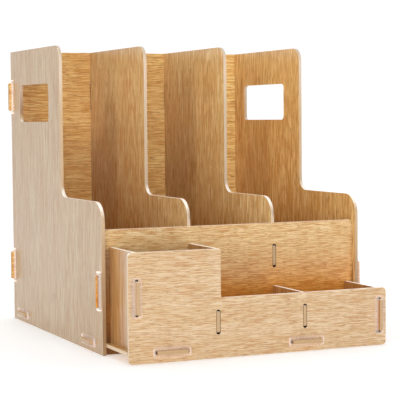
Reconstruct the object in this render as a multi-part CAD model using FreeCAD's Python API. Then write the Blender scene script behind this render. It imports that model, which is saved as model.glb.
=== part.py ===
import FreeCAD, Part
import math
import os

# Magazine file holder made of thin laminated boards that slot together and are
# locked by clear plastic clips pressed over their tabs. A stepped rack with three
# file compartments stands behind a low three-part pen tray.
#
# Frame: millimetres, +Z up, the tray faces -Y, left is -X. The origin is at the
# centre of the overall box, on the surface that the holder stands on.

# ---- Driving dimensions ----

BOARD = 3.0                # thickness of every board
WIDTH = 250.0              # over the side panels' outer faces
HEIGHT = 270.0             # of the side panels and dividers
SIDE_DEPTH = 264.0         # of the side panels
TRAY_REACH = 54.0          # tray's front face ahead of the side panels' front edges
PANEL_RECESS = 4.5         # front and back panels, in from the side panels' ends
TAB_REACH = 4.5            # clipped tabs stand out this far beyond the board's face

STEP_HEIGHT = 131.0        # top of the low front part of a side panel
STEP_SETBACK = 109.0       # tall part starts this far behind the front edge
DIVIDER_STEP_AHEAD = 2.0   # the dividers' tall parts start this far ahead of that
TOP_RADIUS = 13.0          # round at the top of the tall part
STEP_RADIUS = 13.0         # hollow round at the foot of the tall part
NOSE_RADIUS = 17.0         # round at the front of the low part
REAR_TOP_RADIUS = 1.5      # slight easing of the rear top corner

FRONT_PANEL_HEIGHT = 107.5
FRONT_PANEL_RADIUS = 3.0
FLOOR_GAP = 7.3            # air under the bottom boards
COMPARTMENTS = 3

HANDLE_LENGTH = 91.0
HANDLE_HEIGHT = 36.0
HANDLE_RADIUS = 4.5
HANDLE_BELOW_TOP = 52.2    # centre of the handle hole, down from the top edge
HANDLE_FROM_REAR = 76.5    # centre of the handle hole, in from the rear edge

TRAY_TALL = 92.5           # height of the tray's tall left part
TRAY_LOW = 51.0            # height of the rest of the tray
TRAY_CORNER = 3.5
TRAY_NOTCH_CORNER = 2.0
TRAY_SHOULDER_CORNER = 1.2
TALL_OVERHANG = 1.0        # tall part of the tray front passes the tall divider
WALL_INSET = 5.5           # tray side walls, in from the ends of the tray front

CLIP_TAB_LENGTH = 27.5     # tabs that carry a clip
CLIP_SLOT_LENGTH = 31.0
FLUSH_TAB_LENGTH = 18.0    # tabs that end level with the board's face
FLUSH_SLOT_LENGTH = 21.0
SLOT_WIDTH = 3.8
SLOT_CORNER = 1.8
TAB_CORNER = 1.2
TAB_ROOT = 2.0             # tabs are drawn this far into their board before fusing

CLIP_LENGTH = 34.0
CLIP_WIDTH = 9.2
CLIP_THICKNESS = 2.5
CLIP_CORNER = 2.6
CLIP_WINDOW_WIDTH = 3.2
CLIP_WINDOW_CORNER = 1.4

LOW_TAB_Z = 55.0           # centre height of the lower row of clipped tabs
HIGH_TAB_Z = 225.0         # centre height of the upper row of clipped tabs
RACK_DIVIDER_TAB_Z = 78.0
TRAY_DIVIDER_TAB_Z = 30.6
TRAY_RIGHT_TAB_Z = 27.0
BOTTOM_TAB_INSET = 27.0    # bottom board's side tabs, in from its ends
TRAY_BOTTOM_TAB_X = (-84.0, 42.0)

# ---- Places worked out from the dimensions ----

OVERALL_DEPTH = TAB_REACH + TRAY_REACH + SIDE_DEPTH
X_OUT = WIDTH / 2
X_IN = X_OUT - BOARD
Y_REAR = OVERALL_DEPTH / 2
Y_FRONT = Y_REAR - SIDE_DEPTH
Y_STEP = Y_FRONT + STEP_SETBACK
Y_FRONT_PANEL = Y_FRONT + PANEL_RECESS
Y_FRONT_PANEL_BACK = Y_FRONT_PANEL + BOARD
Y_BACK_PANEL_BACK = Y_REAR - PANEL_RECESS
Y_BACK_PANEL = Y_BACK_PANEL_BACK - BOARD
Y_TRAY = Y_FRONT - TRAY_REACH
Y_TRAY_BACK = Y_TRAY + BOARD

FLOOR_TOP = FLOOR_GAP + BOARD
FLOOR_MID = FLOOR_GAP + BOARD / 2

COMPARTMENT_WIDTH = (WIDTH - (COMPARTMENTS + 1) * BOARD) / COMPARTMENTS
DIVIDER_X = [(n - COMPARTMENTS / 2) * (COMPARTMENT_WIDTH + BOARD)
             for n in range(1, COMPARTMENTS)]
WALL_X = X_IN - WALL_INSET - BOARD / 2
TALL_EDGE_X = DIVIDER_X[0] + BOARD / 2 + TALL_OVERHANG

BOTTOM_TAB_Y = (Y_FRONT_PANEL_BACK + BOTTOM_TAB_INSET, Y_BACK_PANEL - BOTTOM_TAB_INSET)
# Centres of the upright tabs through a side panel, as (y, z)
UPRIGHT_SIDE_TABS = (
    (Y_FRONT_PANEL + BOARD / 2, LOW_TAB_Z),
    (Y_BACK_PANEL + BOARD / 2, LOW_TAB_Z),
    (Y_BACK_PANEL + BOARD / 2, HIGH_TAB_Z),
)


# ---- Outlines ----

def place_point(plane, u, v, level):
    """A point of a board drawn in plane YZ, XZ or XY, at the given level across it."""
    if plane == "YZ":
        return FreeCAD.Vector(level, u, v)
    if plane == "XZ":
        return FreeCAD.Vector(u, level, v)
    return FreeCAD.Vector(u, v, level)


def rounded_outline(corners):
    """Edges of a closed outline from (u, v, radius) corners, flat at z = 0."""
    count = len(corners)
    arc_ends = []
    arc_middles = []
    for n in range(count):
        u, v, radius = corners[n]
        here = FreeCAD.Vector(u, v, 0)
        before = FreeCAD.Vector(corners[n - 1][0], corners[n - 1][1], 0)
        after = FreeCAD.Vector(corners[(n + 1) % count][0], corners[(n + 1) % count][1], 0)
        to_before = (before - here).normalize()
        to_after = (after - here).normalize()
        if radius == 0:
            arc_ends.append((here, here))
            arc_middles.append(None)
            continue
        half_angle = to_before.getAngle(to_after) / 2
        reach = radius / math.tan(half_angle)
        inward = (to_before + to_after).normalize()
        arc_ends.append((here + to_before * reach, here + to_after * reach))
        arc_middles.append(here + inward * (radius / math.sin(half_angle) - radius))
    edges = []
    for n in range(count):
        arc_start, arc_end = arc_ends[n]
        if arc_middles[n] is not None:
            edges.append((arc_start, arc_middles[n], arc_end))
        next_start = arc_ends[(n + 1) % count][0]
        if arc_end.distanceToPoint(next_start) > 1e-6:
            edges.append((arc_end, next_start))
    return edges


def plate(plane, corners, low, high):
    """A flat board with the given outline, from level low to level high."""
    edges = []
    for points in rounded_outline(corners):
        placed = [place_point(plane, p.x, p.y, low) for p in points]
        if len(placed) == 3:
            edges.append(Part.Arc(*placed).toShape())
        else:
            edges.append(Part.LineSegment(*placed).toShape())
    face = Part.Face(Part.Wire(edges))
    across = place_point(plane, 0, 0, high) - place_point(plane, 0, 0, low)
    return face.extrude(across)


def rectangle(u_low, u_high, v_low, v_high, radius=0.0):
    """Corners of a rectangle, all rounded to one radius."""
    return [(u_low, v_low, radius), (u_high, v_low, radius),
            (u_high, v_high, radius), (u_low, v_high, radius)]


def centred(u, v, u_size, v_size, radius=0.0):
    """Corners of a rectangle about a centre."""
    return rectangle(u - u_size / 2, u + u_size / 2, v - v_size / 2, v + v_size / 2, radius)


def tab(plane, u_base, u_tip, v_mid, length, low, high):
    """A tab that leaves a board's edge at u_base along u, with eased tip corners."""
    way = math.copysign(1, u_tip - u_base)
    root = u_base - way * TAB_ROOT
    corners = [(root, v_mid - length / 2, 0), (u_tip, v_mid - length / 2, TAB_CORNER),
               (u_tip, v_mid + length / 2, TAB_CORNER), (root, v_mid + length / 2, 0)]
    return plate(plane, corners, low, high)


def cross_tab(plane, v_base, v_tip, u_mid, length, low, high):
    """A tab that leaves a board's edge at v_base along v, with eased tip corners."""
    way = math.copysign(1, v_tip - v_base)
    root = v_base - way * TAB_ROOT
    corners = [(u_mid - length / 2, root, 0), (u_mid - length / 2, v_tip, TAB_CORNER),
               (u_mid + length / 2, v_tip, TAB_CORNER), (u_mid + length / 2, root, 0)]
    return plate(plane, corners, low, high)


def with_tabs(board, tabs):
    """The board and its tabs as one solid."""
    return board.fuse(tabs).removeSplitter().Solids[0]


def with_cuts(board, cutters):
    """The board with its slots and holes cut."""
    return board.cut(cutters).Solids[0]


# ---- Rack ----

def stepped_profile(front, step, base):
    """Side view of a side panel or divider: tall at the rear, low at the front."""
    return [(front, base, 0), (front, STEP_HEIGHT, NOSE_RADIUS),
            (step, STEP_HEIGHT, STEP_RADIUS), (step, HEIGHT, TOP_RADIUS)]


def side_panel(outer_x):
    """A side panel with its handle hole and the slots for five tabs."""
    low = min(outer_x, outer_x - math.copysign(BOARD, outer_x))
    high = low + BOARD
    profile = stepped_profile(Y_FRONT, Y_STEP, 0)
    profile += [(Y_REAR, HEIGHT, REAR_TOP_RADIUS), (Y_REAR, 0, 0)]
    board = plate("YZ", profile, low, high)
    reach = (low - BOARD, high + BOARD)
    handle = centred(Y_REAR - HANDLE_FROM_REAR, HEIGHT - HANDLE_BELOW_TOP,
                     HANDLE_LENGTH, HANDLE_HEIGHT, HANDLE_RADIUS)
    cutters = [plate("YZ", handle, *reach)]
    for y, z in UPRIGHT_SIDE_TABS:
        slot = centred(y, z, SLOT_WIDTH, CLIP_SLOT_LENGTH, SLOT_CORNER)
        cutters.append(plate("YZ", slot, *reach))
    for y in BOTTOM_TAB_Y:
        slot = centred(y, FLOOR_MID, CLIP_SLOT_LENGTH, SLOT_WIDTH, SLOT_CORNER)
        cutters.append(plate("YZ", slot, *reach))
    return with_cuts(board, cutters)


def rack_divider(x):
    """An inner upright: one level tab to the front, two clipped tabs to the rear."""
    low = x - BOARD / 2
    high = x + BOARD / 2
    profile = stepped_profile(Y_FRONT_PANEL_BACK, Y_STEP - DIVIDER_STEP_AHEAD, FLOOR_TOP)
    profile += [(Y_BACK_PANEL, HEIGHT, 0), (Y_BACK_PANEL, FLOOR_TOP, 0)]
    board = plate("YZ", profile, low, high)
    tabs = [tab("YZ", Y_FRONT_PANEL_BACK, Y_FRONT_PANEL, RACK_DIVIDER_TAB_Z,
                FLUSH_TAB_LENGTH, low, high)]
    for z in (LOW_TAB_Z, HIGH_TAB_Z):
        tabs.append(tab("YZ", Y_BACK_PANEL, Y_REAR, z, CLIP_TAB_LENGTH, low, high))
    return with_tabs(board, tabs)


def back_panel():
    """The back: clipped tabs through the sides and slots for the dividers."""
    board = plate("XZ", rectangle(-X_IN, X_IN, 0, HEIGHT),
                  Y_BACK_PANEL, Y_BACK_PANEL_BACK)
    tabs = []
    slots = []
    for z in (LOW_TAB_Z, HIGH_TAB_Z):
        for way in (-1, 1):
            tabs.append(tab("XZ", way * X_IN, way * (X_OUT + TAB_REACH), z,
                            CLIP_TAB_LENGTH, Y_BACK_PANEL, Y_BACK_PANEL_BACK))
        for x in DIVIDER_X:
            slot = centred(x, z, SLOT_WIDTH, CLIP_SLOT_LENGTH, SLOT_CORNER)
            slots.append(plate("XZ", slot, Y_BACK_PANEL - BOARD, Y_BACK_PANEL_BACK + BOARD))
    return with_cuts(with_tabs(board, tabs), slots)


def front_panel():
    """The rack's low front, which also carries the back of the pen tray."""
    outline = [(-X_IN, 0, 0), (X_IN, 0, 0),
               (X_IN, FRONT_PANEL_HEIGHT, FRONT_PANEL_RADIUS),
               (-X_IN, FRONT_PANEL_HEIGHT, FRONT_PANEL_RADIUS)]
    board = plate("XZ", outline, Y_FRONT_PANEL, Y_FRONT_PANEL_BACK)
    tabs = []
    for way in (-1, 1):
        tabs.append(tab("XZ", way * X_IN, way * (X_OUT + TAB_REACH), LOW_TAB_Z,
                        CLIP_TAB_LENGTH, Y_FRONT_PANEL, Y_FRONT_PANEL_BACK))
    outlines = [centred(-WALL_X, LOW_TAB_Z, SLOT_WIDTH, CLIP_SLOT_LENGTH, SLOT_CORNER),
                centred(WALL_X, TRAY_RIGHT_TAB_Z, SLOT_WIDTH, CLIP_SLOT_LENGTH, SLOT_CORNER)]
    for x in DIVIDER_X:
        for z in (RACK_DIVIDER_TAB_Z, TRAY_DIVIDER_TAB_Z):
            outlines.append(centred(x, z, SLOT_WIDTH, FLUSH_SLOT_LENGTH, SLOT_CORNER))
    for x in TRAY_BOTTOM_TAB_X:
        outlines.append(centred(x, FLOOR_MID, FLUSH_SLOT_LENGTH, SLOT_WIDTH, SLOT_CORNER))
    slots = [plate("XZ", outline, Y_FRONT_PANEL - BOARD, Y_FRONT_PANEL_BACK + BOARD)
             for outline in outlines]
    return with_cuts(with_tabs(board, tabs), slots)


def bottom_board():
    """The rack's floor, hung between the side panels by four clipped tabs."""
    board = plate("XY", rectangle(-X_IN, X_IN, Y_FRONT_PANEL_BACK, Y_BACK_PANEL),
                  FLOOR_GAP, FLOOR_TOP)
    tabs = []
    for y in BOTTOM_TAB_Y:
        for way in (-1, 1):
            tabs.append(tab("XY", way * X_IN, way * (X_OUT + TAB_REACH), y,
                            CLIP_TAB_LENGTH, FLOOR_GAP, FLOOR_TOP))
    return with_tabs(board, tabs)


# ---- Pen tray ----

def tray_front_panel():
    """The tray's L-shaped front, with slots for its walls, dividers and floor."""
    outline = [(-X_IN, 0, TRAY_CORNER), (X_IN, 0, TRAY_CORNER),
               (X_IN, TRAY_LOW, TRAY_CORNER), (TALL_EDGE_X, TRAY_LOW, TRAY_NOTCH_CORNER),
               (TALL_EDGE_X, TRAY_TALL, TRAY_SHOULDER_CORNER),
               (-X_IN, TRAY_TALL, TRAY_CORNER)]
    board = plate("XZ", outline, Y_TRAY, Y_TRAY_BACK)
    outlines = [centred(-WALL_X, LOW_TAB_Z, SLOT_WIDTH, CLIP_SLOT_LENGTH, SLOT_CORNER),
                centred(WALL_X, TRAY_RIGHT_TAB_Z, SLOT_WIDTH, CLIP_SLOT_LENGTH, SLOT_CORNER)]
    for x in DIVIDER_X:
        outlines.append(centred(x, TRAY_DIVIDER_TAB_Z, SLOT_WIDTH, FLUSH_SLOT_LENGTH,
                                SLOT_CORNER))
    for x in TRAY_BOTTOM_TAB_X:
        outlines.append(centred(x, FLOOR_MID, CLIP_SLOT_LENGTH, SLOT_WIDTH, SLOT_CORNER))
    slots = [plate("XZ", outline, Y_TRAY - BOARD, Y_TRAY_BACK + BOARD)
             for outline in outlines]
    return with_cuts(board, slots)


def tray_upright(x, height, tab_z, length, reach):
    """A wall or divider of the tray, with one tab to the front and one to the rear."""
    low = x - BOARD / 2
    high = x + BOARD / 2
    board = plate("YZ", rectangle(Y_TRAY_BACK, Y_FRONT_PANEL, FLOOR_TOP, height), low, high)
    tabs = [tab("YZ", Y_TRAY_BACK, Y_TRAY - reach, tab_z, length, low, high),
            tab("YZ", Y_FRONT_PANEL, Y_FRONT_PANEL_BACK + reach, tab_z, length, low, high)]
    return with_tabs(board, tabs)


def tray_wall(x, height, tab_z):
    """An outer wall of the tray: its tabs pass right through and carry clips."""
    return tray_upright(x, height, tab_z, CLIP_TAB_LENGTH, TAB_REACH)


def tray_divider(x, height):
    """An inner wall of the tray: its tabs end level with the boards' faces."""
    return tray_upright(x, height, TRAY_DIVIDER_TAB_Z, FLUSH_TAB_LENGTH, 0)


def tray_bottom_board():
    """The tray's floor: clipped tabs to the front, level tabs to the rear."""
    board = plate("XY", rectangle(-X_IN, X_IN, Y_TRAY_BACK, Y_FRONT_PANEL),
                  FLOOR_GAP, FLOOR_TOP)
    tabs = []
    for x in TRAY_BOTTOM_TAB_X:
        tabs.append(cross_tab("XY", Y_TRAY_BACK, Y_TRAY - TAB_REACH, x,
                              CLIP_TAB_LENGTH, FLOOR_GAP, FLOOR_TOP))
        tabs.append(cross_tab("XY", Y_FRONT_PANEL, Y_FRONT_PANEL_BACK, x,
                              FLUSH_TAB_LENGTH, FLOOR_GAP, FLOOR_TOP))
    return with_tabs(board, tabs)


# ---- Clips ----

def clip(plane, u, v, upright, face, way):
    """A clear ring pressed over a tab, lying on the board's face at level face."""
    u_size, v_size = (CLIP_WIDTH, CLIP_LENGTH) if upright else (CLIP_LENGTH, CLIP_WIDTH)
    if upright:
        window = centred(u, v, CLIP_WINDOW_WIDTH, CLIP_SLOT_LENGTH, CLIP_WINDOW_CORNER)
    else:
        window = centred(u, v, CLIP_SLOT_LENGTH, CLIP_WINDOW_WIDTH, CLIP_WINDOW_CORNER)
    low = min(face, face + way * CLIP_THICKNESS)
    high = low + CLIP_THICKNESS
    ring = plate(plane, centred(u, v, u_size, v_size, CLIP_CORNER), low, high)
    return with_cuts(ring, [plate(plane, window, low - BOARD, high + BOARD)])


def side_clips():
    """Five clips on the outer face of each side panel."""
    clips = {}
    names = ("front", "rear_lower", "rear_upper")
    for side, way in (("left", -1), ("right", 1)):
        for name, (y, z) in zip(names, UPRIGHT_SIDE_TABS):
            clips["clip_%s_%s" % (side, name)] = clip("YZ", y, z, True, way * X_OUT, way)
        for name, y in zip(("front", "rear"), BOTTOM_TAB_Y):
            node = "clip_%s_bottom_%s" % (side, name)
            clips[node] = clip("YZ", y, FLOOR_MID, False, way * X_OUT, way)
    return clips


def back_clips():
    """Clips on the dividers' tabs, behind the back panel."""
    clips = {}
    for side, x in zip(("left", "right"), DIVIDER_X):
        for name, z in (("lower", LOW_TAB_Z), ("upper", HIGH_TAB_Z)):
            node = "clip_back_%s_%s" % (side, name)
            clips[node] = clip("XZ", x, z, True, Y_BACK_PANEL_BACK, 1)
    return clips


def tray_clips():
    """Clips on the tray front, and behind the front panel on the tray walls' tabs."""
    clips = {}
    for side, x, z in (("left", -WALL_X, LOW_TAB_Z), ("right", WALL_X, TRAY_RIGHT_TAB_Z)):
        clips["clip_tray_%s" % side] = clip("XZ", x, z, True, Y_TRAY, -1)
        clips["clip_inner_%s" % side] = clip("XZ", x, z, True, Y_FRONT_PANEL_BACK, 1)
    for side, x in zip(("left", "right"), TRAY_BOTTOM_TAB_X):
        clips["clip_tray_bottom_%s" % side] = clip("XZ", x, FLOOR_MID, False, Y_TRAY, -1)
    return clips


def boards():
    """The thirteen boards."""
    return {
        "left_side_panel": side_panel(-X_OUT),
        "right_side_panel": side_panel(X_OUT),
        "left_divider": rack_divider(DIVIDER_X[0]),
        "right_divider": rack_divider(DIVIDER_X[1]),
        "back_panel": back_panel(),
        "front_panel": front_panel(),
        "bottom_board": bottom_board(),
        "tray_front_panel": tray_front_panel(),
        "tray_bottom_board": tray_bottom_board(),
        "tray_left_wall": tray_wall(-WALL_X, TRAY_TALL, LOW_TAB_Z),
        "tray_right_wall": tray_wall(WALL_X, TRAY_LOW, TRAY_RIGHT_TAB_Z),
        "tray_left_divider": tray_divider(DIVIDER_X[0], TRAY_TALL),
        "tray_right_divider": tray_divider(DIVIDER_X[1], TRAY_LOW),
    }


def main():
    os.makedirs("parts", exist_ok=True)
    nodes = boards()
    nodes.update(side_clips())
    nodes.update(back_clips())
    nodes.update(tray_clips())
    for name, shape in nodes.items():
        shape.exportStep("parts/%s.step" % name)
        print("%-24s volume %9.1f mm3  valid %s" % (name, shape.Volume, shape.isValid()))


main()
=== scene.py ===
import math
from collections import namedtuple

import bmesh
import bpy
from mathutils import Matrix, Vector


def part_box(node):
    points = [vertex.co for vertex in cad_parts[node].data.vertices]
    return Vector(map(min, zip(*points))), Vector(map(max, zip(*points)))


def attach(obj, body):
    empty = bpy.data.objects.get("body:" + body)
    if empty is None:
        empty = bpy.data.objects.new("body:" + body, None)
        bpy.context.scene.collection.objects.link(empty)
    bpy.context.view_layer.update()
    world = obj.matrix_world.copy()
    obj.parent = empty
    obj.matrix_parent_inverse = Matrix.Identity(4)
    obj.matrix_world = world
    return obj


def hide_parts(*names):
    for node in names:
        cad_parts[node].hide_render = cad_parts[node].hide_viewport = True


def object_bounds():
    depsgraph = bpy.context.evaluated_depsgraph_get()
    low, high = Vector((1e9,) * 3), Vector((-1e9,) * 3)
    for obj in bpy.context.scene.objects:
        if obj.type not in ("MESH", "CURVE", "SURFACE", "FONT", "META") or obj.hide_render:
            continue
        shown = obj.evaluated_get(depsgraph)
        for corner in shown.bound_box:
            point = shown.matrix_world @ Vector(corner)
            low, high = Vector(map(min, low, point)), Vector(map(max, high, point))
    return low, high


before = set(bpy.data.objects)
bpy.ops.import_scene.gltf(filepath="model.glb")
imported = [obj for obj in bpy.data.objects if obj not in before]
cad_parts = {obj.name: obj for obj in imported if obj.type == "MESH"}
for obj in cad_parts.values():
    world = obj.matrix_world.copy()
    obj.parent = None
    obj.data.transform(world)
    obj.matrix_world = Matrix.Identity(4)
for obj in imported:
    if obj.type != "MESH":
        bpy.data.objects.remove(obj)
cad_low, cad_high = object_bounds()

# A magazine file holder of thin oak-faced boards, slotted together and locked by
# clear plastic clips. Metres, +Z up, the pen tray faces -Y. Tones are sRGB, 0 to 255.

BODY = "root"
MM = 0.001
X_AXIS, Y_AXIS, Z_AXIS = 0, 1, 2

# ---- Camera and studio ----

CAMERA_FROM_CENTRE = Vector((-0.5379, -1.2456, 0.0674))   # camera, from the CAD box's centre
CAMERA_YAW = math.radians(23.82)      # turned towards +X from looking along +Y
CAMERA_PITCH = math.radians(-3.29)
CAMERA_ROLL = math.radians(-0.50)
CAMERA_LENS = 128.8
SENSOR_WIDTH = 36.0

# Name, place, target, width and height, and power of each light
LIGHTS = (
    ("key", (-0.6, -2.55, 0.45), (0.0, 0.0, 0.12), (1.0, 1.0), 25.0),
    ("overhead", (0.0, 0.1, 2.6), (0.0, 0.1, 0.0), (0.5, 0.5), 11.0),
    ("side_strip", (-2.6, -2.2, 0.45), (0.0, 0.0, 0.15), (0.28, 2.0), 33.0),
)
# Glow of the studio round the object: axis, which way along it, and strength
WORLD_GLOW = (
    (X_AXIS, -1.0, 0.15),
    (X_AXIS, 1.0, 0.50),
    (Y_AXIS, -1.0, 0.10),
    (Y_AXIS, 1.0, 1.00),
    (Z_AXIS, 1.0, 0.30),
)
BACKDROP_GLOW = 1.05
FLOOR_SIZE = 200.0
FLOOR_COLOUR = (0.84, 0.84, 0.84, 1.0)
FLOOR_GLOW_COLOUR = (0.95, 0.98, 1.0, 1.0)
FLOOR_GLOW = (0.38, 0.55)        # beside the object and far from it
FLOOR_GLOW_REACH = (0.15, 0.9)   # from the centre, where the glow starts and stops rising

# ---- Boards ----

# How strong the dashes and the streaks are, and how many dashes there are to a metre
# across the grain and along it
Grain = namedtuple("Grain", "dash streak dashes_across dashes_along")

# Thickness axis, grain axis, seed and kind of each board
BOARDS = {
    "left_side_panel": (X_AXIS, Z_AXIS, 1.3, "side"),
    "right_side_panel": (X_AXIS, Z_AXIS, 4.7, "side"),
    "left_divider": (X_AXIS, Z_AXIS, 7.9, "divider"),
    "right_divider": (X_AXIS, Z_AXIS, 11.2, "lit_divider"),
    "back_panel": (Y_AXIS, X_AXIS, 14.6, "back"),
    "front_panel": (Y_AXIS, X_AXIS, 17.1, "front"),
    "bottom_board": (Z_AXIS, X_AXIS, 20.4, "back"),
    "tray_front_panel": (Y_AXIS, X_AXIS, 23.8, "tray"),
    "tray_bottom_board": (Z_AXIS, X_AXIS, 26.5, "back"),
    "tray_left_wall": (X_AXIS, Z_AXIS, 29.9, "wall"),
    "tray_left_divider": (X_AXIS, Z_AXIS, 33.3, "wall"),
    "tray_right_divider": (X_AXIS, Z_AXIS, 36.6, "wall"),
    "tray_right_wall": (X_AXIS, Z_AXIS, 39.2, "wall"),
}
# Tone of the faces, tone of the cut edges, and grain
KINDS = {
    "side": ((255, 222, 155), (206, 175, 137), Grain(1.50, 1.20, 760.0, 36.0)),
    "divider": ((236, 207, 151), (208, 186, 158), Grain(1.50, 1.20, 760.0, 36.0)),
    # The right divider's paler tone is painted light on the divider tone
    "lit_divider": ((254, 226, 166), (208, 186, 158), Grain(1.50, 1.20, 760.0, 36.0)),
    "back": ((240, 205, 135), (226, 198, 162), Grain(2.20, 0.90, 1300.0, 45.0)),
    "front": ((234, 191, 128), (232, 208, 176), Grain(1.60, 0.60, 1650.0, 60.0)),
    "tray": ((217, 192, 156), (226, 200, 166), Grain(1.25, 0.50, 1650.0, 60.0)),
    "wall": ((204, 160, 104), (206, 184, 152), Grain(1.00, 2.10, 300.0, 12.0)),
}
DIVIDER_KINDS = ("divider", "lit_divider")
UPRIGHT_KINDS = ("side",) + DIVIDER_KINDS
WAVY_KINDS = ("back", "wall")     # the others' grain sways half as far
GLOSSY_KINDS = ("side", "wall")

# Boards whose outside has a look of its own: which way it faces, tone and grain. The paler,
# greyer tone of the side panels' outer faces is painted sheen
OUTER_SIDE_SHEEN = ((194, 168, 130), Grain(1.10, 0.45, 950.0, 30.0))
OUTWARD = {
    "left_side_panel": (-1.0, *OUTER_SIDE_SHEEN),
    "right_side_panel": (1.0, *OUTER_SIDE_SHEEN),
    "back_panel": (1.0, (222, 186, 136), Grain(0.80, 0.50, 900.0, 60.0)),
}
# Boards with tabs: the axis the tabs run along, and the boards that the tabs enter
TRAY_SPAN = (Y_AXIS, "tray_front_panel", "front_panel")
INNER_SPAN = {
    "left_divider": (Y_AXIS, "front_panel", "back_panel"),
    "right_divider": (Y_AXIS, "front_panel", "back_panel"),
    "back_panel": (X_AXIS, "left_side_panel", "right_side_panel"),
    "front_panel": (X_AXIS, "left_side_panel", "right_side_panel"),
    "bottom_board": (X_AXIS, "left_side_panel", "right_side_panel"),
    "tray_bottom_board": TRAY_SPAN,
    "tray_left_wall": TRAY_SPAN,
    "tray_left_divider": TRAY_SPAN,
    "tray_right_divider": TRAY_SPAN,
    "tray_right_wall": TRAY_SPAN,
}

# Shades that a tone is multiplied by, channel by channel
PALE_BAND = (1.04, 1.06, 1.09)
DARK_BAND = (0.97, 0.93, 0.88)
STREAK = (0.86, 0.70, 0.52)
FIGURE = (0.84, 0.67, 0.49)
FIBRE = (1.12, 1.20, 1.30)
DASH = (0.76, 0.54, 0.35)
PORE = (0.52, 0.32, 0.17)
RING = (0.70, 0.48, 0.32)
PALE_CORE = (1.06, 1.06, 1.06)
DARK_CORE = (0.90, 0.88, 0.84)

# Tints that a finished face is multiplied by. They are painted light and shade: darker where
# shade falls, paler where light falls
# Painted shade low on the front panel and painted light higher up, fading between the heights
# that follow
FRONT_LOW_SHADE = (1.00, 0.72, 0.29, 1.0)
FRONT_HIGH_LIGHT = (0.98, 1.15, 1.46, 1.0)
FRONT_TINT_HEIGHTS = (0.036, 0.092)
# Painted shade low at the rear of the dividers, and painted light towards their front
DIVIDER_REAR_SHADE = (0.72, 0.68, 0.66, 1.0)
DIVIDER_FRONT_LIGHT = (1.10, 1.12, 1.16, 1.0)
# Painted light towards the right end of the back panel
BACK_RIGHT_LIGHT = (1.30, 1.50, 1.72, 1.0)

# A paler strip along the front edge of the tray's left wall: its tone, and its width
WALL_STRIP_TONE = (204, 180, 148)
WALL_STRIP_WIDTH = 0.035            # from the tray wall's front edge
# Painted shade on the front panel where another board comes near: its colour, and how far it
# reaches
CREVICE_SHADE_TONE = (72, 38, 16)
CREVICE_SHADE_REACH = 0.024            # how far a neighbouring board darkens the front panel

# How far the grain sways across the board, in broad waves and in ripples
BROAD_SWAY = 0.010
RIPPLE_SWAY = 0.0015

# Pointed figure of the upright boards
HEART_FROM_REAR = 0.122          # its middle line, in from the rear edge
RING_CURVE = 6500.0              # rings to a square metre of the distance from that line
RINGS_ALONG = 42.0               # rings to a metre up the line
RING_DRIFT = 3.0
RING_REACH = (0.008, 0.030)      # from the line, where the figure starts and stops fading
RING_STRENGTH = 0.5

# Added to a board's seed for the patterns that its kind or place adds
OUTER_SEED = 50.0
RING_SEED = 60.0
WALL_STRIP_SEED = 70.0

# Cut edges. The specks move each one's colour between two tones.
# Painted highlight on cut edges that face up
TOP_EDGE_HIGHLIGHT = ((255, 248, 236), (244, 230, 210))
# Painted light on the upper cut edges of upright boards
HIGH_EDGE_LIGHT = ((228, 206, 182), (212, 188, 162))
# Painted shade on the low cut edges of the side panels
LOW_EDGE_SHADE = ((150, 112, 72), (122, 86, 52))
TAB_EDGE = ((204, 170, 128), (176, 142, 102))
# Painted shade on the walls of the left handle hole
HANDLE_EDGE_SHADE = (150, 104, 60)
LOW_EDGE_HEIGHTS = (0.01, 0.13)
HIGH_EDGE_HEIGHTS = (0.20, 0.25)
# Zone round the handle hole: how far in from a side panel's rear edge and its top the
# zone starts, is full, starts to fade and ends
HANDLE_ZONE = {
    Y_AXIS: (0.130, 0.125, 0.025, 0.020),
    Z_AXIS: (0.080, 0.075, 0.030, 0.025),
}
# Painted shade inside the slots and on the shoulders behind them
SLOT_SHADE_TONE = (22, 13, 9)        # inside the slots
SLOT_REACH = 0.006               # a wall that is nearer than this makes an edge a slot's
SPECKS = 1400.0                  # to a metre
EDGE_GLOW_TONE = (255, 246, 234)
EDGE_GLOW = 0.35                 # of edges that face up
UPRIGHT_EDGE_GLOW = 0.22         # of the upright boards, fading out over these heights
UPRIGHT_GLOW_HEIGHTS = (0.15, 0.20)
EASED_EDGE = 0.25 * MM

BOARD_IOR = 1.45
GLOSSY_IOR = 1.60


# ---- Shader helpers ----

def put(tree, kind, inputs=None, **settings):
    """Adds a node. An input is given by name or index, as a value or as a socket to link."""
    node = tree.nodes.new(kind)
    for name, value in settings.items():
        setattr(node, name, value)
    for name, value in (inputs or {}).items():
        socket = node.inputs[name]
        if isinstance(value, bpy.types.NodeSocket):
            tree.links.new(value, socket)
        else:
            socket.default_value = value
    return node


def calc(tree, operation, a, b=0.0, clamp=False):
    """One arithmetic step."""
    return put(tree, "ShaderNodeMath", {0: a, 1: b}, operation=operation,
               use_clamp=clamp).outputs[0]


def spread(tree, value, low, high, to_low=0.0, to_high=1.0):
    """Maps value from low..high to to_low..to_high, smoothly and clamped."""
    return put(tree, "ShaderNodeMapRange",
               {"Value": value, "From Min": low, "From Max": high,
                "To Min": to_low, "To Max": to_high},
               interpolation_type="SMOOTHSTEP").outputs["Result"]


def product(tree, first, *others):
    """Numbers multiplied together, from left to right."""
    for other in others:
        first = calc(tree, "MULTIPLY", first, other)
    return first


def mix(tree, factor, a, b, blend="MIX"):
    """Mixes two colours."""
    return put(tree, "ShaderNodeMix", {0: factor, 6: a, 7: b},
               data_type="RGBA", blend_type=blend).outputs[2]


def tinted(tree, factor, base, tint):
    """A colour that a tint is multiplied into, as far as factor says."""
    return mix(tree, factor, base, mix(tree, 1.0, base, tint, "MULTIPLY"))


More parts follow.
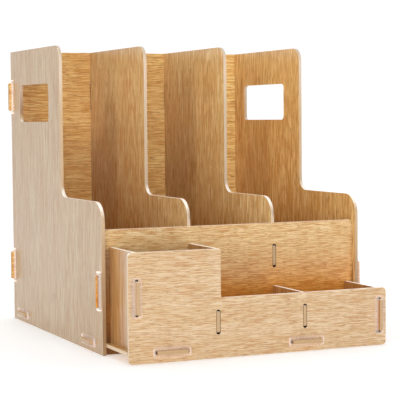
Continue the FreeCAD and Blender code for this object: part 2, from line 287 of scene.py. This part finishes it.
def mix_numbers(tree, factor, a, b):
    """Mixes two numbers."""
    return put(tree, "ShaderNodeMix", {0: factor, 2: a, 3: b}).outputs[0]


def scaled(tree, vector, scale):
    """A vector times a number."""
    return put(tree, "ShaderNodeVectorMath", {0: vector, 3: scale},
               operation="SCALE").outputs[0]


def noise(tree, vector, detail=3.0, roughness=0.55):
    """Fractal noise, 0 to 1, of an already scaled vector."""
    return put(tree, "ShaderNodeTexNoise",
               {"Vector": vector, "Scale": 1.0, "Detail": detail,
                "Roughness": roughness}).outputs["Fac"]


def colour(red, green, blue):
    """A colour from sRGB values of 0 to 255."""
    def linear(value):
        value /= 255.0
        return value / 12.92 if value <= 0.04045 else ((value + 0.055) / 1.055) ** 2.4
    return (linear(red), linear(green), linear(blue), 1.0)


def shade(tone, factors):
    """A colour multiplied channel by channel."""
    return (*(channel * factor for channel, factor in zip(tone, factors)), 1.0)


def speckled(tree, speck, tones):
    """A colour that the specks move between two tones."""
    return mix(tree, speck, colour(*tones[0]), colour(*tones[1]))


def new_material(name):
    """An empty node material with its output and Principled shader."""
    material = bpy.data.materials.new(name)
    material.use_nodes = True
    tree = material.node_tree
    tree.nodes.clear()
    shader = put(tree, "ShaderNodeBsdfPrincipled")
    output = put(tree, "ShaderNodeOutputMaterial")
    tree.links.new(shader.outputs[0], output.inputs[0])
    return material, tree, shader


# ---- Oak grain ----

def grain_vector(tree, across, along, across_scale, along_scale, seed):
    """A noise vector stretched along the grain."""
    return put(tree, "ShaderNodeCombineXYZ",
               {0: product(tree, across, across_scale),
                1: product(tree, along, along_scale), 2: seed}).outputs[0]


def wavy(tree, across, along, seed, waviness):
    """The position across the grain, swayed as the grain of a real board wanders."""
    broad = noise(tree, grain_vector(tree, across, along, 16.0, 7.0, seed), 2.0)
    ripple = noise(tree, grain_vector(tree, across, along, 90.0, 55.0, seed + 9.0), 1.0)
    sways = [product(tree, calc(tree, "SUBTRACT", pattern, 0.5), reach * waviness)
             for pattern, reach in ((broad, BROAD_SWAY), (ripple, RIPPLE_SWAY))]
    return calc(tree, "ADD", across, calc(tree, "ADD", *sways))


def oak_face(tree, across, along, tone, seed, grain):
    """Colour, relief and streaks of a printed oak face."""
    def pattern(across_scale, along_scale, number, detail=2.0, roughness=0.55):
        vector = grain_vector(tree, across, along, across_scale, along_scale, seed + number)
        return noise(tree, vector, detail, roughness)

    dash, streak, dashes_across, dashes_along = grain
    bands = pattern(42.0, 2.6, 0.0)
    streaks = pattern(dashes_across * 0.7, 12.0, 1.0, 3.0, 0.6)
    dashes = pattern(dashes_across, dashes_along, 2.0, 3.0, 0.6)
    fibres = pattern(dashes_across * 1.7, dashes_along * 1.2, 3.0)
    pores = pattern(dashes_across * 1.5, dashes_along * 2.4, 4.0)
    patches = pattern(70.0, 14.0, 5.0)
    figure = put(tree, "ShaderNodeTexWave",
                 {"Vector": grain_vector(tree, across, along, 1.0, 0.12, seed),
                  "Scale": 34.0, "Distortion": 9.0, "Detail": 3.0,
                  "Detail Scale": 1.3, "Detail Roughness": 0.55,
                  "Phase Offset": seed},
                 wave_type="BANDS", bands_direction="X").outputs["Fac"]
    oak = mix(tree, spread(tree, bands, 0.32, 0.68), shade(tone, PALE_BAND),
              shade(tone, DARK_BAND))
    oak = mix(tree, spread(tree, streaks, 0.42, 0.66, 0.0, 0.75 * streak), oak,
              shade(tone, STREAK))
    oak = mix(tree, spread(tree, figure, 0.60, 0.98, 0.0, 0.26 * streak), oak,
              shade(tone, FIGURE))
    oak = mix(tree, spread(tree, fibres, 0.42, 0.68, 0.0, 0.40), oak, shade(tone, FIBRE))
    strength = spread(tree, patches, 0.30, 0.65, 0.80 * dash, dash)
    marks = calc(tree, "MULTIPLY", spread(tree, dashes, 0.46, 0.56, 0.0, 0.7), strength, True)
    oak = mix(tree, marks, oak, shade(tone, DASH))
    ticks = calc(tree, "MULTIPLY", spread(tree, pores, 0.56, 0.68, 0.0, 0.7), strength, True)
    oak = mix(tree, ticks, oak, shade(tone, PORE))
    relief = calc(tree, "SUBTRACT", product(tree, fibres, 0.5), marks)
    return oak, relief, streaks


def pointed_figure(tree, across, along, centre, seed):
    """Growth rings cut at a slant: nested pointed arches along a line up the board."""
    off = calc(tree, "SUBTRACT", across, centre)
    drift = noise(tree, grain_vector(tree, across, along, 55.0, 12.0, seed), 3.0)
    phase = calc(tree, "ADD", product(tree, off, off, RING_CURVE),
                 product(tree, along, RINGS_ALONG))
    phase = calc(tree, "ADD", phase, product(tree, drift, RING_DRIFT))
    rings = calc(tree, "SINE", product(tree, phase, 2 * math.pi))
    near = spread(tree, calc(tree, "ABSOLUTE", off), *RING_REACH, 1.0, 0.0)
    return product(tree, spread(tree, rings, -0.1, 0.9), near)


# ---- Oak-faced board ----

class Board:
    """One board's box, its material and the coordinates that its shading is drawn in."""

    def __init__(self, name, thickness_axis, grain_axis, seed, kind):
        self.name, self.seed, self.kind = name, seed, kind
        self.low, self.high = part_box(name)
        self.material, self.tree, self.shader = new_material(name + "_oak")
        coordinates = put(self.tree, "ShaderNodeTexCoord").outputs
        self.place = coordinates["Object"]
        self.spot = put(self.tree, "ShaderNodeSeparateXYZ", {0: self.place}).outputs
        facings = put(self.tree, "ShaderNodeSeparateXYZ", {0: coordinates["Normal"]}).outputs
        self.facing = facings[thickness_axis]
        self.upward = spread(self.tree, facings[Z_AXIS], 0.15, 0.85)
        self.along = self.spot[grain_axis]
        self.across = wavy(self.tree, self.spot[3 - thickness_axis - grain_axis], self.along,
                           seed, 1.0 if kind in WAVY_KINDS else 0.5)


def printed_face(board):
    """Colour, relief and streaks of a board's faces, with what its kind or place adds."""
    tree, spot, across, along = board.tree, board.spot, board.across, board.along
    face_tone, _, grain = KINDS[board.kind]
    tone = colour(*face_tone)
    oak, relief, streaks = oak_face(tree, across, along, tone, board.seed, grain)
    if board.kind in UPRIGHT_KINDS:
        heart = board.high[Y_AXIS] - HEART_FROM_REAR
        figure = pointed_figure(tree, across, along, heart, board.seed + RING_SEED)
        oak = mix(tree, product(tree, figure, RING_STRENGTH), oak, shade(tone, RING))
    if board.kind == "front":
        # Painted shade low on the front panel, fading into painted light higher up
        tint = mix(tree, spread(tree, spot[Z_AXIS], *FRONT_TINT_HEIGHTS), FRONT_LOW_SHADE,
                   FRONT_HIGH_LIGHT)
        oak = mix(tree, 1.0, oak, tint, "MULTIPLY")
        # Painted shade on the front panel wherever another board comes near
        nook = put(tree, "ShaderNodeAmbientOcclusion", {"Distance": CREVICE_SHADE_REACH}, samples=8)
        crevice_shade = spread(tree, nook.outputs["AO"], 0.25, 0.68, 0.85, 0.0)
        oak = mix(tree, crevice_shade, oak, colour(*CREVICE_SHADE_TONE))
    if board.kind in DIVIDER_KINDS:
        # Painted shade low at the rear of the divider, and painted light towards its front
        front, foot = board.low[Y_AXIS], board.low[Z_AXIS]
        near_rear = spread(tree, spot[Y_AXIS], front + 0.10, board.high[Y_AXIS])
        near_foot = spread(tree, spot[Z_AXIS], foot + 0.12, foot + 0.22, 1.0, 0.0)
        oak = tinted(tree, product(tree, near_rear, near_foot), oak, DIVIDER_REAR_SHADE)
        near_front = spread(tree, spot[Y_AXIS], front + 0.04, front + 0.17, 1.0, 0.0)
        oak = tinted(tree, near_front, oak, DIVIDER_FRONT_LIGHT)
    if board.name == "back_panel":
        # Painted light towards the right end of the back panel
        to_right = spread(tree, spot[X_AXIS], board.low[X_AXIS] * 0.1, board.high[X_AXIS] * 0.9)
        oak = tinted(tree, to_right, oak, BACK_RIGHT_LIGHT)
    if board.name == "tray_left_wall":
        # A paler strip along the front edge of the tray's left wall
        seed = board.seed + WALL_STRIP_SEED
        wobble = noise(tree, grain_vector(tree, across, along, 260.0, 14.0, seed))
        swayed = calc(tree, "ADD", spot[Y_AXIS], product(tree, wobble, 0.02))
        border = board.low[Y_AXIS] + WALL_STRIP_WIDTH
        pale_strip = spread(tree, swayed, border, border + 0.005, 0.55, 0.0)
        oak = mix(tree, pale_strip, oak, colour(*WALL_STRIP_TONE))
    if board.name in OUTWARD:
        # On the side panels the paler, greyer outer tone is painted sheen
        outward, outer_tone, outer_grain = OUTWARD[board.name]
        outer, _, _ = oak_face(tree, across, along, colour(*outer_tone),
                               board.seed + OUTER_SEED, outer_grain)
        outside = spread(tree, product(tree, board.facing, outward), 0.2, 0.8)
        oak = mix(tree, outside, oak, outer)
    return oak, relief, streaks


def handle_zone(board):
    """1 round the handle hole of a side panel."""
    if board.kind != "side":
        return 0.0
    tree = board.tree
    fades = []
    for axis, (start, full, fading, end) in HANDLE_ZONE.items():
        place, edge = board.spot[axis], board.high[axis]
        fades.append(spread(tree, place, edge - start, edge - full))
        fades.append(spread(tree, place, edge - fading, edge - end, 1.0, 0.0))
    return product(tree, *fades)


def tab_zones(board):
    """1 on the tabs, from where they enter the next boards to their ends, and 1 on the
    shoulders beside them, which close the slots of those boards from behind."""
    if board.name not in INNER_SPAN:
        return 0.0, 0.0
    tree = board.tree
    axis, low_node, high_node = INNER_SPAN[board.name]
    low_box, high_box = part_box(low_node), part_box(high_node)
    start, end = low_box[1][axis], high_box[0][axis]
    half = (end - start) / 2
    off = calc(tree, "ABSOLUTE", calc(tree, "SUBTRACT", board.spot[axis], (start + end) / 2))
    beyond = spread(tree, off, half, half + 0.5 * MM)
    against = spread(tree, off, half - 0.4 * MM, half - 0.2 * MM)
    # Higher up there is no neighbour in front of the shoulder
    cover = min(low_box[1][Z_AXIS], high_box[1][Z_AXIS]) - 6.0 * MM
    covered = spread(tree, board.spot[Z_AXIS], cover - 1.0 * MM, cover, 1.0, 0.0)
    shoulder = product(tree, against, calc(tree, "SUBTRACT", 1.0, beyond), covered)
    return beyond, shoulder


def cut_edge(board, speck, handle, beyond):
    """Colour of the fibre core where a board is cut, with painted light and shade on some of
    its edges.
    """
    tree, height = board.tree, board.spot[Z_AXIS]
    tone = colour(*KINDS[board.kind][1])
    core = mix(tree, spread(tree, speck, 0.30, 0.75), shade(tone, PALE_CORE),
               shade(tone, DARK_CORE))
    # Painted shade on the side panels' edges low down
    if board.kind == "side":
        low_down = spread(tree, height, *LOW_EDGE_HEIGHTS, 0.80, 0.0)
        core = mix(tree, low_down, core, speckled(tree, speck, LOW_EDGE_SHADE))
    if board.name == "left_side_panel":
        # The walls of the handle hole, all but its sill, carry painted shade
        top = board.high[Z_AXIS]
        above_sill = spread(tree, height, top - 0.067, top - 0.060)
        core = mix(tree, product(tree, handle, above_sill), core, colour(*HANDLE_EDGE_SHADE))
    # Painted highlight on edges that face up
    core = mix(tree, board.upward, core, speckled(tree, speck, TOP_EDGE_HIGHLIGHT))
    # Painted light on the upper edges of upright boards
    if board.kind in UPRIGHT_KINDS:
        core = mix(tree, spread(tree, height, *HIGH_EDGE_HEIGHTS), core,
                   speckled(tree, speck, HIGH_EDGE_LIGHT))
    if board.name in INNER_SPAN:
        core = mix(tree, beyond, core, speckled(tree, speck, TAB_EDGE))
    return core


def oak_board(name, thickness_axis, grain_axis, seed, kind):
    """Printed oak on both sides of a pale fibre core that shows at every cut edge."""
    board = Board(name, thickness_axis, grain_axis, seed, kind)
    tree, shader = board.tree, board.shader
    oak, relief, streaks = printed_face(board)
    speck = noise(tree, scaled(tree, board.place, SPECKS), 3.0, 0.7)
    handle = handle_zone(board)
    beyond, shoulder = tab_zones(board)
    core = cut_edge(board, speck, handle, beyond)
    on_face = spread(tree, calc(tree, "ABSOLUTE", board.facing), 0.80, 0.97)
    on_edge = calc(tree, "SUBTRACT", 1.0, on_face)

    # Painted shade where the walls of a slot are close together, and on the shoulders behind
    # the slots
    open_air = put(tree, "ShaderNodeAmbientOcclusion", {"Distance": SLOT_REACH},
                   samples=12, only_local=True).outputs["AO"]
    in_slot = calc(tree, "MAXIMUM", spread(tree, open_air, 0.80, 0.99, 1.0, 0.0), shoulder)
    in_slot = product(tree, in_slot, calc(tree, "SUBTRACT", on_edge, handle, True))
    bare = mix(tree, on_face, core, oak)
    tree.links.new(mix(tree, in_slot, bare, colour(*SLOT_SHADE_TONE)), shader.inputs["Base Color"])
    # Fully metallic, so that the painted shade inside the slots has no pale sheen of its own
    tree.links.new(in_slot, shader.inputs["Metallic"])

    lit = product(tree, calc(tree, "SUBTRACT", on_edge, in_slot), board.upward)
    glow = EDGE_GLOW
    if kind in UPRIGHT_KINDS:
        # Smoothed twice, which gives the fade a steeper middle
        high_up = spread(tree, board.spot[Z_AXIS], *UPRIGHT_GLOW_HEIGHTS)
        glow = spread(tree, high_up, 0.0, 1.0, UPRIGHT_EDGE_GLOW, 0.0)
    tree.links.new(product(tree, lit, glow), shader.inputs["Emission Strength"])
    shader.inputs["Emission Color"].default_value = colour(*EDGE_GLOW_TONE)

    gloss = spread(tree, streaks, 0.2, 0.8, 0.20, 0.27)
    rough = mix_numbers(tree, on_face, 0.32, gloss)
    tree.links.new(mix_numbers(tree, in_slot, rough, 0.9), shader.inputs["Roughness"])
    shader.inputs["IOR"].default_value = GLOSSY_IOR if kind in GLOSSY_KINDS else BOARD_IOR
    height = mix_numbers(tree, on_face, speck, relief)
    bump = put(tree, "ShaderNodeBump", {"Strength": 0.08, "Distance": 0.0003, "Height": height})
    tree.links.new(bump.outputs[0], shader.inputs["Normal"])
    return board.material


def dress_boards():
    """Gives every board its own oak, and eases its edges a little."""
    for name, settings in BOARDS.items():
        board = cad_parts[name]
        board.data.materials.clear()
        board.data.materials.append(oak_board(name, *settings))
        weld = board.modifiers.new("weld", "WELD")
        weld.merge_threshold = 0.01 * MM
        bevel = board.modifiers.new("eased_edges", "BEVEL")
        bevel.width = EASED_EDGE
        bevel.segments = 2
        bevel.limit_method = "ANGLE"
        bevel.angle_limit = math.radians(40)
        bevel.harden_normals = True


# ---- Clips ----

CLIP_OUTER = (34.0, 9.2, 2.6)       # length, width and corner radius of a clip, in mm
CLIP_WINDOW = (31.0, 3.2, 1.4)      # and of the window that the tab passes through
CLIP_HEIGHT = 2.5
# Section of the ring: share of the way from the window to the outer edge, and of the height
CLIP_PROFILE = ((0.00, 0.00), (0.00, 0.86), (0.05, 0.96), (0.14, 1.00), (0.60, 1.00),
                (0.78, 0.95), (0.92, 0.80), (1.00, 0.55), (1.00, 0.00))
CLIP_CORNER_STEPS = 7
CLIP_TONES = ((255, 241, 230), (248, 228, 212))
CLIP_GLOW_TONE = (255, 242, 236)
CLIP_GLOW = 0.28
CLIP_IOR = 1.49
CLOUDS = 160.0                      # to a metre
# How much the two ends of a clip gleam
UPRIGHT_GLINT = 0.40
LEVEL_GLINT = 0.04
FRONT_GLINT = 0.12


def rounded_rectangle(length, width, radius, steps):
    """Points round a rectangle with round corners, centred on the origin."""
    points = []
    for quarter in range(4):
        across = length / 2 - radius if quarter in (0, 3) else radius - length / 2
        up = width / 2 - radius if quarter in (0, 1) else radius - width / 2
        for step in range(steps + 1):
            angle = math.pi / 2 * (quarter + step / steps)
            points.append((across + radius * math.cos(angle), up + radius * math.sin(angle)))
    return points


def clip_mesh(name, length_axis, width_axis, height_axis, outward, base):
    """A soft-edged ring lying on a board's face: base is the ring's centre on that face.
    Its attribute "reach" is 0 at the middle of the clip's length and 1 at the ends."""
    ring = bmesh.new()
    loops = []
    reach = []
    for share, height in CLIP_PROFILE:
        sizes = [a + (b - a) * share for a, b in zip(CLIP_WINDOW, CLIP_OUTER)]
        loop = []
        for along, across in rounded_rectangle(*sizes, CLIP_CORNER_STEPS):
            place = Vector(base)
            place[length_axis] += along * MM
            place[width_axis] += across * MM
            place[height_axis] += outward * height * CLIP_HEIGHT * MM
            loop.append(ring.verts.new(place))
            reach.append(abs(along) * 2 / CLIP_OUTER[0])
        loops.append(loop)
    for loop, following in zip(loops, loops[1:] + loops[:1]):
        for k in range(len(loop)):
            after = (k + 1) % len(loop)
            ring.faces.new((loop[k], loop[after], following[after], following[k]))
    bmesh.ops.recalc_face_normals(ring, faces=ring.faces)
    mesh = bpy.data.meshes.new(name)
    ring.to_mesh(mesh)
    ring.free()
    for face in mesh.polygons:
        face.use_smooth = True
    mesh.attributes.new("reach", "FLOAT", "POINT").data.foreach_set("value", reach)
    return mesh


def clear_plastic(name, height_axis, glint):
    """Clear moulded plastic: nearly invisible on its flat top, milkier on its walls and
    brightest at the two ends of the ring."""
    material, tree, shader = new_material(name)
    coordinates = put(tree, "ShaderNodeTexCoord").outputs
    cloud = noise(tree, scaled(tree, coordinates["Object"], CLOUDS), 3.0)
    facing = put(tree, "ShaderNodeSeparateXYZ", {0: coordinates["Normal"]}).outputs[height_axis]
    on_wall = spread(tree, calc(tree, "ABSOLUTE", facing), 0.55, 0.97, 1.0, 0.0)
    tree.links.new(speckled(tree, cloud, CLIP_TONES), shader.inputs["Base Color"])
    tree.links.new(spread(tree, cloud, 0.2, 0.8, 0.06, 0.16), shader.inputs["Roughness"])
    haze = product(tree, cloud, 0.08)
    opacity = calc(tree, "ADD", haze, spread(tree, on_wall, 0.0, 1.0, 0.10, 0.24))
    reach = put(tree, "ShaderNodeAttribute", attribute_name="reach").outputs["Fac"]
    at_end = spread(tree, reach, 0.90, 0.97)
    opacity = calc(tree, "ADD", opacity, product(tree, at_end, glint), True)
    tree.links.new(opacity, shader.inputs["Alpha"])
    shader.inputs["Emission Color"].default_value = colour(*CLIP_GLOW_TONE)
    tree.links.new(spread(tree, at_end, 0.0, 1.0, CLIP_GLOW, CLIP_GLOW + glint),
                   shader.inputs["Emission Strength"])
    shader.inputs["IOR"].default_value = CLIP_IOR
    bump = put(tree, "ShaderNodeBump", {"Strength": 0.05, "Distance": 0.0004, "Height": cloud})
    tree.links.new(bump.outputs[0], shader.inputs["Normal"])
    return material


def make_clips():
    """A moulded clip in place of each plain CAD ring."""
    upright_side = clear_plastic("clear_plastic_upright", X_AXIS, UPRIGHT_GLINT)
    level_side = clear_plastic("clear_plastic_level", X_AXIS, LEVEL_GLINT)
    facing_front = clear_plastic("clear_plastic_front", Y_AXIS, FRONT_GLINT)
    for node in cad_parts:
        if not node.startswith("clip_"):
            continue
        low, high = (Vector(corner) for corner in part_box(node))
        size = high - low
        height_axis = min(range(3), key=lambda axis: size[axis])
        length_axis = max(range(3), key=lambda axis: size[axis])
        width_axis = 3 - height_axis - length_axis
        if height_axis == X_AXIS:
            outward = math.copysign(1, low.x + high.x)
            plastic = upright_side if length_axis == Z_AXIS else level_side
        else:
            outward = -1 if node.startswith("clip_tray_") else 1
            plastic = facing_front
        base = (low + high) / 2
        base[height_axis] = low[height_axis] if outward > 0 else high[height_axis]
        name = node.replace("clip_", "moulded_clip_")
        mesh = clip_mesh(name, length_axis, width_axis, height_axis, outward, base)
        mesh.materials.append(plastic)
        clip = bpy.data.objects.new(name, mesh)
        bpy.context.collection.objects.link(clip)
        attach(clip, BODY)
        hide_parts(node)


# ---- Studio ----

def make_floor():
    """A wide pale floor."""
    material, tree, shader = new_material("pale_floor")
    shader.inputs["Base Color"].default_value = FLOOR_COLOUR
    shader.inputs["Roughness"].default_value = 0.8
    shader.inputs["Emission Color"].default_value = FLOOR_GLOW_COLOUR
    place = put(tree, "ShaderNodeTexCoord").outputs["Object"]
    away = put(tree, "ShaderNodeVectorMath", {0: place}, operation="LENGTH").outputs["Value"]
    tree.links.new(spread(tree, away, *FLOOR_GLOW_REACH, *FLOOR_GLOW),
                   shader.inputs["Emission Strength"])
    bpy.ops.mesh.primitive_plane_add(size=FLOOR_SIZE, location=(0, 0, 0))
    floor = bpy.context.object
    floor.name = "floor"
    floor.data.materials.append(material)


def area_light(name, place, target, size, power):
    """A soft light of the given width and height, aimed at a point."""
    data = bpy.data.lights.new(name, "AREA")
    data.shape = "RECTANGLE"
    data.size, data.size_y = size
    data.energy = power
    light = bpy.data.objects.new(name, data)
    light.location = place
    light.rotation_euler = (Vector(target) - Vector(place)).to_track_quat("-Z", "Y").to_euler()
    bpy.context.collection.objects.link(light)


def make_world():
    """A white studio, brightest behind the object and dim on the camera's side."""
    world = bpy.data.worlds.new("studio")
    world.use_nodes = True
    tree = world.node_tree
    background = tree.nodes["Background"]
    background.inputs["Color"].default_value = (1.0, 1.0, 1.0, 1.0)
    way = put(tree, "ShaderNodeTexCoord").outputs["Generated"]
    axes = put(tree, "ShaderNodeSeparateXYZ", {0: way}).outputs
    total = 0.0
    for axis, sign, strength in WORLD_GLOW:
        glow = calc(tree, "MAXIMUM", product(tree, axes[axis], sign * strength), 0.0)
        total = calc(tree, "ADD", total, glow)
    seen = put(tree, "ShaderNodeLightPath").outputs["Is Camera Ray"]
    tree.links.new(mix_numbers(tree, seen, total, BACKDROP_GLOW), background.inputs["Strength"])
    bpy.context.scene.world = world
    bpy.context.scene.view_settings.view_transform = "Standard"


def make_camera(centre):
    """A long lens from the front left, a little above the middle of the object."""
    data = bpy.data.cameras.new("camera")
    data.sensor_width = SENSOR_WIDTH
    data.lens = CAMERA_LENS
    camera = bpy.data.objects.new("camera", data)
    forward = Vector((math.sin(CAMERA_YAW) * math.cos(CAMERA_PITCH),
                      math.cos(CAMERA_YAW) * math.cos(CAMERA_PITCH),
                      math.sin(CAMERA_PITCH)))
    right = Vector((math.cos(CAMERA_YAW), -math.sin(CAMERA_YAW), 0.0))
    up = right.cross(forward)
    across = right * math.cos(CAMERA_ROLL) + up * math.sin(CAMERA_ROLL)
    upward = up * math.cos(CAMERA_ROLL) - right * math.sin(CAMERA_ROLL)
    turn = Matrix((across, upward, -forward)).transposed().to_4x4()
    camera.matrix_world = Matrix.Translation(centre + CAMERA_FROM_CENTRE) @ turn
    bpy.context.collection.objects.link(camera)
    bpy.context.scene.camera = camera


dress_boards()
make_clips()
make_floor()
make_world()
for light in LIGHTS:
    area_light(*light)
make_camera((cad_low + cad_high) / 2)
